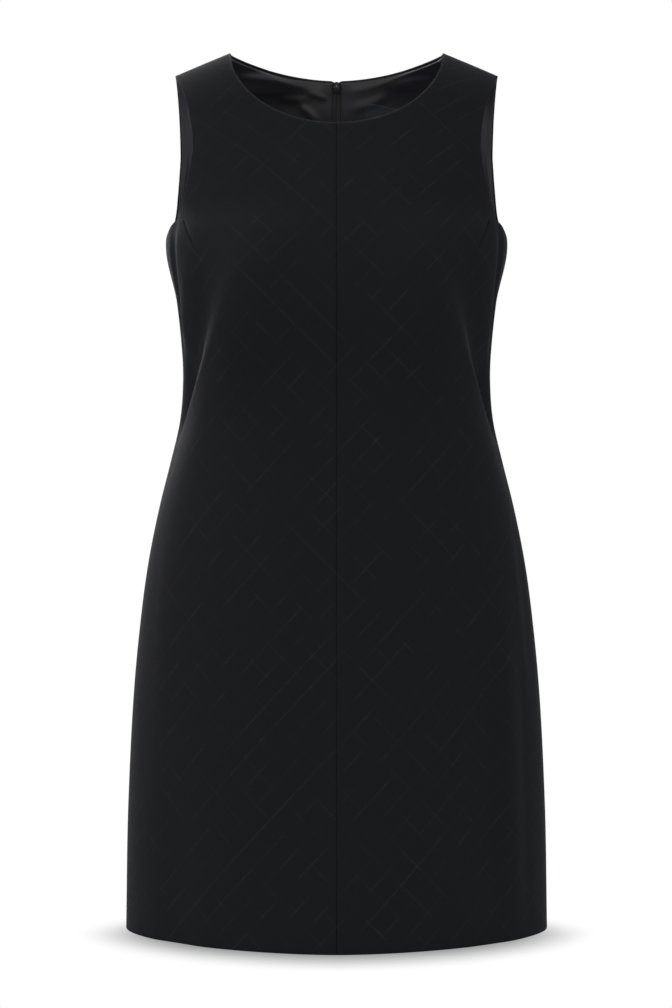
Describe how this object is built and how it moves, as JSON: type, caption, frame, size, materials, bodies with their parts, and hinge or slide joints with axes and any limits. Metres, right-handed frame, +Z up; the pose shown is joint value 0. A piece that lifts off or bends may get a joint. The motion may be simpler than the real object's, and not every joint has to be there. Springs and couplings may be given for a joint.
{
  "type": "shift dress",
  "caption": "Sleeveless knee-length shift dress in dark checked cloth, worn form, scoop neck, armhole bust darts, centre-back zip and satin back lining.",
  "frame": {"origin": "midway between the shoulders, level with the high shoulder points where the shoulder seams meet the neck: where the wearer carries the dress", "axes": "+Z up, the front faces -Y, the wearer's left is at +X"},
  "size_m": [0.442, 0.274, 0.9179],
  "materials": {
    "cloth": "matt wool-blend suiting, near-black, with a fine faint windowpane check on the bias",
    "satin": "satin lining, near-black with a violet cast",
    "tape": "woven zip tape, black",
    "coil": "nylon coil, black",
    "enamel": "black enamelled zinc",
    "ribbon": "woven ribbon, dark, bare"
  },
  "bodies": {
    "dress": {"front_right": "cloth", "front_left": "cloth", "back_right": "cloth", "back_left": "cloth", "lining_back_right": "satin", "lining_back_left": "satin", "zip_tape_right": "tape", "zip_tape_left": "tape", "zip_chain": "coil", "zip_slider": "enamel", "label": "ribbon"},
    "pull": {"zip_pull": "enamel"}
  },
  "joints": [
    {"name": "pull_swing", "type": "hinge", "parent": "dress", "child": "pull", "pos_m": [0, 0.06863, -0.02365], "axis": [1, 0, 0], "range_deg": [0, 160]}
  ]
}
